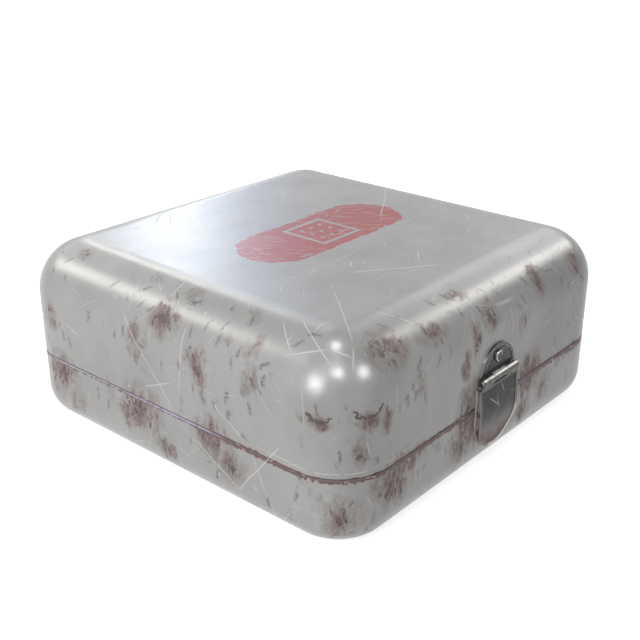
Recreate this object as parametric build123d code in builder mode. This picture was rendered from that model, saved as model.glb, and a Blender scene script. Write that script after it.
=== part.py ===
from build123d import *
import os

# First aid box of pressed steel, with a deep hinged lid and a snap latch on its front
# The origin is the middle of the underside, +Z is up and the latch faces -Y
os.makedirs("parts", exist_ok=True)

# Pressed shells
box_width = 250
box_depth = 250
base_height = 42
lid_height = 66
corner_radius = 31
top_edge_radius = 30.5
bottom_edge_radius = 18
corner_margin = 0.5
base_wall = 1.5
lid_wall = 1.0
seam_gap = 0.5
rim_rounding = 0.35

# Collar welded inside the base, which the lid closes over
collar_sheet = 1.0
collar_rise = 4.5
collar_seat = 6
collar_lead_in = 0.4

# Hinges on the rear wall
hinge_length = 48
hinge_spread = 62
hinge_sheet = 1.1
hinge_leaf_height = 15
hinge_leaf_corner = 3
hinge_knuckle_radius = 2.2
hinge_wall_gap = 0.3
hinge_knuckle_count = 5
hinge_notch = 0.5
hinge_web = 1.5
knuckle_gap = 0.3
hinge_pin_radius = 1.1
pin_head_overhang = 0.7
pin_head_height = 0.8
pin_head_rounding = 0.4
pin_clearance = 0.05
pin_end_play = 0.15
hinge_rivet_pitch = 17
hinge_rivet_height = 10.5

# Rivets, washers and backing plates
rivet_shank = 1.4
rivet_head = 2.5
rivet_head_height = 1.2
rivet_tail = 2.0
rivet_tail_height = 0.7
rivet_head_roundness = 0.75
rivet_clearance = 0.05
washer_radius = 3.0
washer_sheet = 0.8
backing_sheet = 0.8
backing_corner = 2

# Latch plate on the front of the lid, with heights measured from the axis of its pin
latch_axis_above_seam = 15
latch_knuckle_radius = 2.2
latch_wall_gap = 0.3
latch_barrel_length = 33.4
latch_middle_knuckle = 12.6
latch_pin_radius = 1.1
latch_sheet = 1.0
latch_dome_radius = 16.8
latch_dome_above_axis = 0.8
latch_rim_width = 1.4
latch_rim_rise = 0.4
latch_window = 0.4
latch_foot_width = 31
latch_foot_below_axis = 12.4
latch_top_rivet_above_axis = 10.5
latch_top_rivet_head = 3.3
latch_foot_rivet_pitch = 18
latch_foot_rivet_below_axis = 7
latch_foot_head_height = 0.5
latch_backing_width = 32
latch_backing_margin = 2

# Flap of the latch: how far its bow lies from the wall, at parts of its length below the axis
flap_width = 37.2
flap_length = 42.8
flap_top_below_axis = 3.5
flap_sheet = 0.9
flap_gap = 0.4
flap_rim_width = 1.3
flap_rim_rise = 0.45
flap_bow = [(2.3, 0.05), (3.1, 0.23), (3.7, 0.42), (3.4, 0.61), (2.5, 0.76), (1.6, 0.91), (1.35, 1.04)]

# Spring inside the flap, which hooks behind a keeper plate through a slot in the base
# Its path is how far it lies from the wall, at depths below the axis
spring_width = 8
spring_sheet = 0.5
spring_path = [
    (2.15, 14), (2.4, 19), (2.0, 24.5), (1.0, 29), (-1, 30.4), (-3, 30.6), (-3.3, 29.6), (-3.1, 27.8)
]
slot_width = 11
slot_height = 4.2
slot_below_axis = 30.5
keeper_width = 28
keeper_height = 10
keeper_sheet = 0.8
keeper_rivet_pitch = 20
keeper_head_height = 0.5

# Places that follow from the sizes above
seam_height = base_height
box_height = base_height + lid_height
base_rim = seam_height - seam_gap / 2
lid_rim = seam_height + seam_gap / 2
front = Plane(origin=(0, -box_depth / 2, 0), x_dir=(1, 0, 0), z_dir=(0, -1, 0))
rear = Plane(origin=(0, box_depth / 2, 0), x_dir=(-1, 0, 0), z_dir=(0, 1, 0))
latch_seat = front.offset(latch_sheet)
latch_inner_face = front.offset(-lid_wall)
keeper_face = front.offset(-base_wall)
latch_side = Plane(origin=(0, -box_depth / 2, 0), x_dir=(0, -1, 0), z_dir=(-1, 0, 0))
hinge_axis_out = hinge_knuckle_radius + hinge_wall_gap
hinge_axis_y = box_depth / 2 + hinge_axis_out
latch_axis_out = latch_knuckle_radius + latch_wall_gap
latch_axis_height = seam_height + latch_axis_above_seam
rivet_hole = rivet_shank + rivet_clearance
latch_window_half = latch_knuckle_radius + latch_window
latch_window_top = latch_axis_height + latch_window_half
latch_window_bottom = latch_axis_height - latch_window_half
latch_dome_height = latch_axis_height + latch_dome_above_axis
latch_foot_height = latch_axis_height - latch_foot_below_axis
latch_top_rivet_height = latch_axis_height + latch_top_rivet_above_axis
latch_foot_rivet_height = latch_axis_height - latch_foot_rivet_below_axis
latch_backing_low = latch_foot_rivet_height - latch_backing_margin
latch_backing_high = latch_top_rivet_height + latch_backing_margin
flap_top = latch_axis_height - flap_top_below_axis
flap_bottom = latch_axis_height - flap_length
past_flap = flap_width / 2
bow_points = [(out, latch_axis_height - part * flap_length) for out, part in flap_bow]
spring_points = [(out, latch_axis_height - depth) for out, depth in spring_path]
slot_middle = latch_axis_height - slot_below_axis
end_knuckle_start = latch_middle_knuckle / 2 + knuckle_gap
top_rivet_spots = [(0, latch_top_rivet_height)]
foot_rivet_spots = [(side * latch_foot_rivet_pitch / 2, latch_foot_rivet_height) for side in (-1, 1)]
latch_rivet_spots = top_rivet_spots + foot_rivet_spots
keeper_rivet_spots = [(side * keeper_rivet_pitch / 2, slot_middle) for side in (-1, 1)]


def hinge_rivet_spots(middles, direction):
    height = seam_height + direction * hinge_rivet_height
    return [(middle + step * hinge_rivet_pitch, height) for middle in middles for step in (-1, 0, 1)]


hinge_middles = (-hinge_spread, hinge_spread)
lid_hinge_spots = hinge_rivet_spots(hinge_middles, 1)
base_hinge_spots = hinge_rivet_spots(hinge_middles, -1)


# A block with rounded uprights, whose last face has a rounded edge, no larger than the uprights allow
def pressed_block(inset, low, high, edge_radius):
    edge_rounding = min(edge_radius, corner_radius - corner_margin) - inset
    with BuildPart() as block:
        with BuildSketch(Plane.XY.offset(low)):
            RectangleRounded(box_width - 2 * inset, box_depth - 2 * inset, corner_radius - inset)
        extrude(amount=high - low)
        fillet(block.faces().sort_by(Axis.Z)[-1 if high > low else 0].edges(), edge_rounding)
    return block.part


# What round holes take out of a wall, from its outer face inwards
def round_holes(plane, spots, radius, depth):
    with BuildPart() as holes:
        with BuildSketch(plane):
            with Locations(*spots):
                Circle(radius)
        extrude(amount=-depth)
    return holes.part


# Base, pressed from one sheet
base_block = pressed_block(0, base_rim, 0, bottom_edge_radius)
base_hollow = pressed_block(base_wall, base_rim, base_wall, bottom_edge_radius)
with BuildPart() as base_shell:
    add(base_block)
    add(base_hollow, mode=Mode.SUBTRACT)
    fillet(base_shell.faces().sort_by(Axis.Z)[-1].outer_wire().edges(), rim_rounding)
    add(round_holes(rear, base_hinge_spots, rivet_hole, 2 * base_wall), mode=Mode.SUBTRACT)
    add(round_holes(front, keeper_rivet_spots, rivet_hole, 2 * base_wall), mode=Mode.SUBTRACT)
    with BuildSketch(front):
        with Locations((0, slot_middle)):
            Rectangle(slot_width, slot_height)
    extrude(amount=-2 * base_wall, mode=Mode.SUBTRACT)
base_shell.part.label = "base_shell"
export_step(base_shell.part, "parts/base_shell.step")

# Collar, a flat band bent round the inside of the base
with BuildPart() as base_collar:
    with BuildSketch(Plane.XY.offset(base_rim - collar_seat)):
        inset = base_wall
        RectangleRounded(box_width - 2 * inset, box_depth - 2 * inset, corner_radius - inset)
        inset = base_wall + collar_sheet
        RectangleRounded(
            box_width - 2 * inset, box_depth - 2 * inset, corner_radius - inset, mode=Mode.SUBTRACT
        )
    extrude(amount=collar_seat + collar_rise)
    chamfer(base_collar.faces().sort_by(Axis.Z)[-1].outer_wire().edges(), collar_lead_in)
base_collar.part.label = "base_collar"
export_step(base_collar.part, "parts/base_collar.step")

# Lid, pressed from a thinner sheet, so that it clears the collar all round
lid_block = pressed_block(0, lid_rim, box_height, top_edge_radius)
lid_hollow = pressed_block(lid_wall, lid_rim, box_height - lid_wall, top_edge_radius)
with BuildPart() as lid_shell:
    add(lid_block)
    add(lid_hollow, mode=Mode.SUBTRACT)
    fillet(lid_shell.faces().sort_by(Axis.Z)[0].outer_wire().edges(), rim_rounding)
    add(round_holes(rear, lid_hinge_spots, rivet_hole, 2 * lid_wall), mode=Mode.SUBTRACT)
    add(round_holes(front, latch_rivet_spots, rivet_hole, 2 * lid_wall), mode=Mode.SUBTRACT)
lid_shell.part.label = "lid_shell"
export_step(lid_shell.part, "parts/lid_shell.step")


# One leaf of a hinge: the lid's leaf points up from the seam, the base's leaf down
def hinge_leaf(middle, direction, own_knuckles):
    knuckle_length = (hinge_length - (hinge_knuckle_count - 1) * knuckle_gap) / hinge_knuckle_count
    leaf_start = hinge_knuckle_radius + hinge_notch
    leaf_middle = seam_height + direction * (leaf_start + hinge_leaf_height) / 2
    rim = seam_height + direction * seam_gap / 2
    knuckle_edge = seam_height + direction * hinge_knuckle_radius
    web_edge = seam_height + direction * (hinge_knuckle_radius + hinge_web)
    wall_y = box_depth / 2
    with BuildPart() as leaf:
        with BuildSketch(rear) as flat:
            with Locations((middle, leaf_middle)):
                Rectangle(hinge_length, hinge_leaf_height - leaf_start)
            far_corners = flat.vertices().group_by(Axis.Y)[-1 if direction > 0 else 0]
            fillet(far_corners, hinge_leaf_corner)
        extrude(amount=hinge_sheet)
        for index in own_knuckles:
            knuckle_start = -middle - hinge_length / 2 + index * (knuckle_length + knuckle_gap)
            with BuildSketch(Plane.YZ.offset(knuckle_start)):
                with Locations((hinge_axis_y, seam_height)):
                    Circle(hinge_knuckle_radius)
                with BuildLine():
                    Polyline(
                        (wall_y, rim),
                        (wall_y, web_edge),
                        (wall_y + hinge_sheet, web_edge),
                        (hinge_axis_y, knuckle_edge),
                        (hinge_axis_y, rim),
                        close=True,
                    )
                make_face()
            extrude(amount=knuckle_length)
        with BuildSketch(Plane.YZ.offset(-middle)):
            with Locations((hinge_axis_y, seam_height)):
                Circle(hinge_pin_radius + pin_clearance)
        extrude(amount=hinge_length, both=True, mode=Mode.SUBTRACT)
        spots = hinge_rivet_spots([middle], direction)
        add(round_holes(rear.offset(hinge_sheet), spots, rivet_hole, 2 * hinge_sheet), mode=Mode.SUBTRACT)
    return leaf.part


# A pin with a rounded head past each end of its barrel, lying along the box's width
def headed_pin(middle, y, height, barrel_length, radius):
    length = barrel_length + 2 * pin_end_play
    with BuildPart() as pin:
        with BuildSketch(Plane.YZ.offset(middle)):
            with Locations((y, height)):
                Circle(radius)
        extrude(amount=length / 2, both=True)
        for end in (-1, 1):
            with BuildSketch(Plane.YZ.offset(middle + end * length / 2)):
                with Locations((y, height)):
                    Circle(radius + pin_head_overhang)
            extrude(amount=end * pin_head_height)
            fillet(pin.edges().group_by(Axis.X)[0 if end < 0 else -1], pin_head_rounding)
    return pin.part


# Two hinges, seen from behind with the left one on the viewer's left
for place, middle in (("left", -hinge_spread), ("right", hinge_spread)):
    base_leaf = hinge_leaf(middle, -1, range(0, hinge_knuckle_count, 2))
    base_leaf.label = f"hinge_base_leaf_{place}"
    export_step(base_leaf, f"parts/hinge_base_leaf_{place}.step")
    lid_leaf = hinge_leaf(middle, 1, range(1, hinge_knuckle_count, 2))
    lid_leaf.label = f"hinge_lid_leaf_{place}"
    export_step(lid_leaf, f"parts/hinge_lid_leaf_{place}.step")
    pin = headed_pin(-middle, hinge_axis_y, seam_height, hinge_length, hinge_pin_radius)
    pin.label = f"hinge_pin_{place}"
    export_step(pin, f"parts/hinge_pin_{place}.step")


# Rivets with a rounded head on the outer face and a flat tail inside
def rivet_group(seat, spots, grip, head, head_height):
    outwards = Axis(seat.origin, seat.z_dir)
    with BuildPart() as rivets:
        with BuildSketch(seat):
            with Locations(*spots):
                Circle(head)
        extrude(amount=head_height)
        fillet(rivets.edges().group_by(outwards)[-1], rivet_head_roundness * head_height)
        with BuildSketch(seat):
            with Locations(*spots):
                Circle(rivet_shank)
        extrude(amount=-grip)
        with BuildSketch(seat.offset(-grip)):
            with Locations(*spots):
                Circle(rivet_tail)
        extrude(amount=-rivet_tail_height)
    return rivets.part


# Washers between the wall and the tails of the hinge rivets
def washer_group(inner_face, spots):
    with BuildPart() as washers:
        with BuildSketch(inner_face):
            with Locations(*spots):
                Circle(washer_radius)
                Circle(rivet_hole, mode=Mode.SUBTRACT)
        extrude(amount=-washer_sheet)
    return washers.part


hinge_seat = rear.offset(hinge_sheet)
for owner, wall, spots in (("base", base_wall, base_hinge_spots), ("lid", lid_wall, lid_hinge_spots)):
    hinge_rivets = rivet_group(
        hinge_seat, spots, hinge_sheet + wall + washer_sheet, rivet_head, rivet_head_height
    )
    hinge_rivets.label = f"hinge_{owner}_rivets"
    export_step(hinge_rivets, f"parts/hinge_{owner}_rivets.step")
    hinge_washers = washer_group(rear.offset(-wall), spots)
    hinge_washers.label = f"hinge_{owner}_washers"
    export_step(hinge_washers, f"parts/hinge_{owner}_washers.step")

# What the dome of the latch plate loses below the window for the barrel
def below_window():
    with BuildSketch() as cut:
        with Locations((0, latch_window_top)):
            Rectangle(3 * latch_dome_radius, 3 * latch_dome_radius, align=(Align.CENTER, Align.MAX))
    return cut.sketch


# Latch plate: a domed plate above the barrel, a neck with the fixed knuckle, and a foot behind the flap
below_dome = below_window()
with BuildPart() as latch_plate:
    with BuildSketch(front):
        with Locations((0, latch_dome_height)):
            Circle(latch_dome_radius)
        add(below_dome, mode=Mode.SUBTRACT)
        with Locations((0, latch_foot_height)):
            Rectangle(
                latch_foot_width, latch_window_bottom - latch_foot_height, align=(Align.CENTER, Align.MIN)
            )
        with Locations((0, latch_axis_height)):
            Rectangle(latch_middle_knuckle, 2 * latch_window_half)
    extrude(amount=latch_sheet)
    with BuildSketch(front.offset(latch_sheet)):
        with Locations((0, latch_dome_height)):
            Circle(latch_dome_radius)
            Circle(latch_dome_radius - latch_rim_width, mode=Mode.SUBTRACT)
        add(below_dome, mode=Mode.SUBTRACT)
    extrude(amount=latch_rim_rise)
    with BuildSketch(latch_side.offset(-latch_middle_knuckle / 2)):
        with Locations((latch_axis_out, latch_axis_height)):
            Circle(latch_knuckle_radius)
        with BuildLine():
            Polyline(
                (0, latch_window_bottom),
                (0, latch_window_top),
                (latch_sheet, latch_window_top),
                (latch_axis_out, latch_axis_height + latch_knuckle_radius),
                (latch_axis_out, latch_axis_height - latch_knuckle_radius),
                (latch_sheet, latch_window_bottom),
                close=True,
            )
        make_face()
    extrude(amount=latch_middle_knuckle)
    with BuildSketch(latch_side):
        with Locations((latch_axis_out, latch_axis_height)):
            Circle(latch_pin_radius + pin_clearance)
    extrude(amount=latch_middle_knuckle, both=True, mode=Mode.SUBTRACT)
    add(round_holes(latch_seat, latch_rivet_spots, rivet_hole, 2 * latch_sheet), mode=Mode.SUBTRACT)
latch_plate.part.label = "latch_plate"
export_step(latch_plate.part, "parts/latch_plate.step")

latch_pin = headed_pin(
    0, -box_depth / 2 - latch_axis_out, latch_axis_height, latch_barrel_length, latch_pin_radius
)
latch_pin.label = "latch_pin"
export_step(latch_pin, "parts/latch_pin.step")

# Backing plate inside the lid, behind the latch plate
with BuildPart() as latch_backing_plate:
    with BuildSketch(latch_inner_face):
        with Locations((0, (latch_backing_low + latch_backing_high) / 2)):
            RectangleRounded(latch_backing_width, latch_backing_high - latch_backing_low, backing_corner)
    extrude(amount=-backing_sheet)
    add(round_holes(latch_inner_face, latch_rivet_spots, rivet_hole, 2 * backing_sheet), mode=Mode.SUBTRACT)
latch_backing_plate.part.label = "latch_backing_plate"
export_step(latch_backing_plate.part, "parts/latch_backing_plate.step")

latch_grip = latch_sheet + lid_wall + backing_sheet
latch_top_rivet = rivet_group(
    latch_seat, top_rivet_spots, latch_grip, latch_top_rivet_head, rivet_head_height
)
latch_top_rivet.label = "latch_top_rivet"
export_step(latch_top_rivet, "parts/latch_top_rivet.step")
latch_foot_rivets = rivet_group(
    latch_seat, foot_rivet_spots, latch_grip, rivet_head, latch_foot_head_height
)
latch_foot_rivets.label = "latch_foot_rivets"
export_step(latch_foot_rivets, "parts/latch_foot_rivets.step")


# What lies between the bow of the flap and a flat face, inside the flap's outline
def bowed_block(rise, inset, flat_face, top):
    radius = flap_width / 2 - inset
    round_middle = flap_bottom + flap_width / 2
    with BuildPart() as block:
        with BuildSketch(latch_side):
            with BuildLine():
                bow = Spline(*[(out + rise, height) for out, height in bow_points])
                Polyline(bow @ 1, (flat_face, bow_points[-1][1]), (flat_face, bow_points[0][1]), bow @ 0)
            make_face()
        extrude(amount=flap_width, both=True)
        with BuildSketch(front):
            with Locations((0, round_middle)):
                Circle(radius)
                Rectangle(2 * radius, top - round_middle, align=(Align.CENTER, Align.MIN))
        extrude(amount=flap_width, mode=Mode.INTERSECT)
    return block.part


# Flap: a bowed shell with a raised rim, open towards the wall, and a knuckle at each end of the barrel
flap_outside = bowed_block(flap_rim_rise, 0, flap_gap, flap_top)
flap_dish = bowed_block(0, flap_rim_width, past_flap, flap_top - flap_rim_width)
flap_hollow = bowed_block(-flap_sheet, flap_sheet, 0, flap_top + flap_sheet)
bow_start = flap_bow[0][0]
with BuildPart() as latch_flap:
    add(flap_outside)
    add(flap_dish, mode=Mode.SUBTRACT)
    add(flap_hollow, mode=Mode.SUBTRACT)
    for side in (-1, 1):
        with BuildSketch(latch_side.offset(side * end_knuckle_start)):
            with Locations((latch_axis_out, latch_axis_height)):
                Circle(latch_knuckle_radius)
            with BuildLine():
                Polyline(
                    (bow_start - flap_sheet, flap_top - flap_sheet),
                    (bow_start + flap_rim_rise, flap_top - flap_sheet),
                    (latch_axis_out + latch_knuckle_radius, latch_axis_height),
                    (latch_axis_out, latch_axis_height),
                    close=True,
                )
            make_face()
        extrude(amount=side * (latch_barrel_length / 2 - end_knuckle_start))
    with BuildSketch(latch_side):
        with Locations((latch_axis_out, latch_axis_height)):
            Circle(latch_pin_radius + pin_clearance)
    extrude(amount=latch_barrel_length, both=True, mode=Mode.SUBTRACT)
latch_flap.part.label = "latch_flap"
export_step(latch_flap.part, "parts/latch_flap.step")

# Spring, a narrow leaf welded inside the flap, with a hooked nose
with BuildPart() as latch_spring:
    with BuildSketch(latch_side):
        with BuildLine() as leaf_line:
            Polyline(*spring_points)
        trace(leaf_line.edges(), line_width=spring_sheet)
    extrude(amount=spring_width / 2, both=True)
latch_spring.part.label = "latch_spring"
export_step(latch_spring.part, "parts/latch_spring.step")

# Keeper plate inside the base, with the slot that the spring hooks behind
with BuildPart() as keeper_plate:
    with BuildSketch(keeper_face):
        with Locations((0, slot_middle)):
            RectangleRounded(keeper_width, keeper_height, backing_corner)
            Rectangle(slot_width, slot_height, mode=Mode.SUBTRACT)
    extrude(amount=-keeper_sheet)
    add(round_holes(keeper_face, keeper_rivet_spots, rivet_hole, 2 * keeper_sheet), mode=Mode.SUBTRACT)
keeper_plate.part.label = "keeper_plate"
export_step(keeper_plate.part, "parts/keeper_plate.step")

keeper_rivets = rivet_group(
    front, keeper_rivet_spots, base_wall + keeper_sheet, rivet_head, keeper_head_height
)
keeper_rivets.label = "keeper_rivets"
export_step(keeper_rivets, "parts/keeper_rivets.step")
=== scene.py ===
import bpy
import math
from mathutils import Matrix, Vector


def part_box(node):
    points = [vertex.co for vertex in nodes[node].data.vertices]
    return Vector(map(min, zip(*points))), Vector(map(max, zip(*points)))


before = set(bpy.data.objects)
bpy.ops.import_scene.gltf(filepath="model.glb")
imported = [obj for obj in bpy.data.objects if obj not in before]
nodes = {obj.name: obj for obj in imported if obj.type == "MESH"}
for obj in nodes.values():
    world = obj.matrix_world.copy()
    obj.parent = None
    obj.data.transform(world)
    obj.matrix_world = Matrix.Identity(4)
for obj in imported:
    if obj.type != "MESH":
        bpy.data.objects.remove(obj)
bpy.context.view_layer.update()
print("frame loaded:", len(nodes), "nodes")

scene = bpy.context.scene
scene.view_settings.view_transform = "Standard"

# Where the photograph was taken from, with its focal length in pixels of the 640 frame
cameraView = {
    "azimuth": -49.23,
    "elevation": 23.64,
    "distance": 0.6194,
    "target": (0, 0, 0.054),
    "focalPixels": 1016.8,
    "centrePixel": (318.1, 316.25),
    "imagePixels": 640,
    "sensor": 36,
    "clip": (0.01, 100),
}


# The direction from the box to something at this azimuth and elevation
def towards(azimuth, elevation):
    turn, rise = math.radians(azimuth), math.radians(elevation)
    return Vector((math.sin(turn) * math.cos(rise), -math.cos(turn) * math.cos(rise), math.sin(rise)))


# Stands an object off the camera's target and turns it to look back there
def stand(thing, azimuth, elevation, distance):
    back = towards(azimuth, elevation)
    thing.location = Vector(cameraView["target"]) + back * distance
    thing.rotation_euler = (-back).to_track_quat("-Z", "Y").to_euler()


def makeCamera(look):
    data = bpy.data.cameras.new("camera")
    camera = bpy.data.objects.new("camera", data)
    scene.collection.objects.link(camera)
    stand(camera, look["azimuth"], look["elevation"], look["distance"])
    half = look["imagePixels"] / 2
    data.sensor_width = look["sensor"]
    data.lens = look["focalPixels"] * look["sensor"] / look["imagePixels"]
    data.shift_x = (half - look["centrePixel"][0]) / look["imagePixels"]
    data.shift_y = (look["centrePixel"][1] - half) / look["imagePixels"]
    data.clip_start, data.clip_end = look["clip"]
    scene.camera = camera


makeCamera(cameraView)
print("camera made")

# Lamps by where they stand round the box: distance and size in metres, power in watts
white, cream, windowBlue, skyBlue = (1, 1, 1), (1, 0.98, 0.94), (0.9, 0.95, 1), (0.42, 0.6, 1)
softLamps = {
    "leftSoft": {"at": (-97, 24), "distance": 3, "size": (1.8, 1.8), "power": 32, "colour": white},
    "frontSoft": {"at": (-66, 52), "distance": 3, "size": (1.6, 1.6), "power": 26, "colour": white},
    "window": {"at": (140.6, 19), "distance": 6, "size": (0.54, 1.9), "power": 20, "colour": windowBlue},
    "sky": {"at": (138.8, 23.5), "distance": 6, "size": (0.9, 2.1), "power": 11, "colour": skyBlue},
    "upperBand": {"at": (150.5, 31), "distance": 6, "size": (0.5, 1.4), "power": 25, "colour": cream},
}
# These only give highlights, as small bright studio lamps do
glintLamps = {
    "lowerBand": {"at": (-150.5, 32), "distance": 6, "size": (1.8, 1.3), "power": 106, "colour": cream},
    "borderBand": {"at": (145.5, 35.5), "distance": 6, "size": (0.9, 0.6), "power": 15, "colour": cream},
    "rightBand": {"at": (72, 33), "distance": 6, "size": (1.5, 1.4), "power": 80, "colour": cream},
    "leftHaze": {"at": (181, 32), "distance": 6, "size": (4.0, 1.8), "power": 58, "colour": white},
    "rightHaze": {"at": (97, 32), "distance": 6, "size": (4.0, 1.6), "power": 64, "colour": white},
    "leftGlint": {"at": (-90, 18), "distance": 1.5, "size": (0.54, 0.54), "power": 17, "colour": white},
    "frontGlint": {"at": (0, 34), "distance": 1.5, "size": (0.38, 0.32), "power": 12, "colour": white},
    "nearGlint": {"at": (-50, 41), "distance": 1.5, "size": (0.27, 0.27), "power": 10.5, "colour": white},
    "topGlint": {"at": (-132, 86), "distance": 1.5, "size": (0.36, 0.22), "power": 10, "colour": white},
}


def makeLamp(name, kind, lightsSurfaces):
    data = bpy.data.lights.new(name, "AREA")
    data.shape = "RECTANGLE"
    data.size, data.size_y = kind["size"]
    data.energy = kind["power"]
    data.color = kind["colour"]
    lamp = bpy.data.objects.new(name, data)
    scene.collection.objects.link(lamp)
    stand(lamp, *kind["at"], kind["distance"])
    lamp.visible_camera = False
    lamp.visible_diffuse = lightsSurfaces


for lampName, lampKind in softLamps.items():
    makeLamp(lampName, lampKind, True)
for lampName, lampKind in glintLamps.items():
    makeLamp(lampName, lampKind, False)
print("lamps made:", len(softLamps) + len(glintLamps))


# Gives an input either a socket to follow or a value of its own
def feed(tree, socket, value):
    if isinstance(value, bpy.types.NodeSocket):
        tree.links.new(value, socket)
    else:
        socket.default_value = value


# Adds a shader node, with settings by name and its inputs as values or sockets
def add(tree, kind, inputs=None, **settings):
    made = tree.nodes.new("ShaderNode" + kind)
    for name, value in settings.items():
        setattr(made, name, value)
    for key, value in (inputs or {}).items():
        feed(tree, made.inputs[key], value)
    return made


def sums(tree, operation, a, b=0.0, c=0.0):
    return add(tree, "Math", {0: a, 1: b, 2: c}, operation=operation).outputs[0]


# Values joined by one operation, each as soon as it is made
def chained(tree, operation, values):
    joined = None
    for value in values:
        joined = value if joined is None else sums(tree, operation, joined, value)
    return joined


def plus(tree, *values):
    return chained(tree, "ADD", values)


def times(tree, *values):
    return chained(tree, "MULTIPLY", values)


def most(tree, *values):
    return chained(tree, "MAXIMUM", values)


def minus(tree, a, b):
    return sums(tree, "SUBTRACT", a, b)


# A value with a share of a mask added to it
def withShare(tree, value, mask, share):
    return sums(tree, "MULTIPLY_ADD", mask, share, value)


# A cloud's 0 to 1 as a swing to both sides of nothing
def swung(tree, value, swing):
    return sums(tree, "MULTIPLY_ADD", value, swing, -swing / 2)


# How far a value is from a place, to either side
def apart(tree, value, place):
    return sums(tree, "ABSOLUTE", minus(tree, value, place))


def vectors(tree, operation, a, b=(0, 0, 0)):
    made = add(tree, "VectorMath", {0: a, 1: b}, operation=operation)
    return made.outputs["Value" if operation in ("LENGTH", "DOT_PRODUCT") else "Vector"]


def scaled(tree, vector, factor):
    return add(tree, "VectorMath", {0: vector, 3: factor}, operation="SCALE").outputs["Vector"]


def separated(tree, vector):
    return add(tree, "SeparateXYZ", {0: vector}).outputs


# The length that two values at right angles make
def flatLength(tree, a, b):
    return vectors(tree, "LENGTH", add(tree, "CombineXYZ", {"X": a, "Y": b}).outputs[0])


# A value taken from one range to another, kept inside it
def ranged(tree, value, low, high, start=0.0, end=1.0, smooth=True):
    inputs = {"Value": value, "From Min": low, "From Max": high, "To Min": start, "To Max": end}
    kind = "SMOOTHSTEP" if smooth else "LINEAR"
    return add(tree, "MapRange", inputs, interpolation_type=kind).outputs["Result"]


# A colour that goes from one to another by a mask. The mix node's colour sockets share their names
# with its other kinds, so they go by number
def blended(tree, factor, a, b):
    return add(tree, "Mix", {"Factor": factor, 6: a, 7: b}, data_type="RGBA").outputs[2]


# Noise, with its scale in clouds to the millimetre
def noise(tree, vector, scale, detail=2.0, roughness=0.5, distortion=0.0):
    inputs = {
        "Vector": vector, "Scale": scale, "Detail": detail, "Roughness": roughness, "Distortion": distortion
    }
    return add(tree, "TexNoise", inputs).outputs


def cloud(tree, vector, scale, **kind):
    return noise(tree, vector, scale, **kind)["Fac"]


middleGrey = (0.5, 0.5, 0.5)


# The place shifted by a cloud, so that what is drawn there comes out uneven
def warped(tree, vector, scale, detail, reach):
    colours = noise(tree, vector, scale, detail, roughness=0.6)["Color"]
    shift = vectors(tree, "SUBTRACT", colours, middleGrey)
    return vectors(tree, "ADD", vector, scaled(tree, shift, reach))


# A colour as seen on a screen, 0 to 255, in the linear values that shaders take
def paint(red, green, blue):
    def linear(value):
        share = value / 255
        return share / 12.92 if share <= 0.04045 else ((share + 0.055) / 1.055) ** 2.4

    return (linear(red), linear(green), linear(blue), 1)


surroundings = {
    "fill": 0.31,
    "background": (1, 1, 1, 1),
    "floorColour": (0.8, 0.8, 0.8, 1),
    "floorGlow": 0.75,
    "floorSize": 40,
}


# Camera, glossy and transmission rays, which see the white background
def seenRays(tree):
    path = add(tree, "LightPath").outputs
    return most(tree, path["Is Camera Ray"], path["Is Glossy Ray"], path["Is Transmission Ray"])


def makeWorld(look):
    world = bpy.data.worlds.new("studio")
    scene.world = world
    world.use_nodes = True
    tree = world.node_tree
    background = tree.nodes["Background"].inputs
    background["Color"].default_value = look["background"]
    strength = ranged(tree, seenRays(tree), 0, 1, look["fill"], 1, smooth=False)
    tree.links.new(strength, background["Strength"])


def makeFloor(look):
    half = look["floorSize"] / 2
    corners = [(-half, -half, 0), (half, -half, 0), (half, half, 0), (-half, half, 0)]
    mesh = bpy.data.meshes.new("floor")
    mesh.from_pydata(corners, [], [(0, 1, 2, 3)])
    floor = bpy.data.objects.new("floor", mesh)
    scene.collection.objects.link(floor)
    material = bpy.data.materials.new("floorPaper")
    material.use_nodes = True
    tree = material.node_tree
    tree.nodes.clear()
    paper = add(tree, "BsdfDiffuse", {"Color": look["floorColour"]})
    glow = add(tree, "Emission", {"Strength": times(tree, seenRays(tree), look["floorGlow"])})
    both = add(tree, "AddShader", {0: paper.outputs[0], 1: glow.outputs[0]})
    add(tree, "OutputMaterial", {"Surface": both.outputs[0]})
    mesh.materials.append(material)


makeWorld(surroundings)
makeFloor(surroundings)
print("studio made")


# A node group with named sockets: returns the tree, its inputs and its output
def newGroup(name, inputs, output):
    tree = bpy.data.node_groups.new(name, "ShaderNodeTree")
    for socketName, value in inputs.items():
        kind = "NodeSocketVector" if isinstance(value, tuple) else "NodeSocketFloat"
        socket = tree.interface.new_socket(socketName, in_out="INPUT", socket_type=kind)
        socket.default_value = value
    tree.interface.new_socket(output, in_out="OUTPUT", socket_type="NodeSocketFloat")
    return tree, tree.nodes.new("NodeGroupInput").outputs, tree.nodes.new("NodeGroupOutput").inputs[output]


def useGroup(tree, group, **inputs):
    return add(tree, "Group", inputs, node_tree=group).outputs[0]


# One soft spot: where it ends and where it is full, as shares of its reach
spotShape = {"ends": 1.25, "full": 0.1}


def makeSpotGroup(shape):
    inputs = {"Vector": (0, 0, 0), "Centre": (0, 0, 0), "Reach": (10, 10, 10), "Strength": 1.0}
    tree, given, out = newGroup("softSpot", inputs, "Density")
    away = vectors(tree, "SUBTRACT", given["Vector"], given["Centre"])
    away = vectors(tree, "DIVIDE", away, given["Reach"])
    near = ranged(tree, vectors(tree, "LENGTH", away), shape["ends"], shape["full"])
    tree.links.new(times(tree, near, given["Strength"]), out)
    return tree


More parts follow.
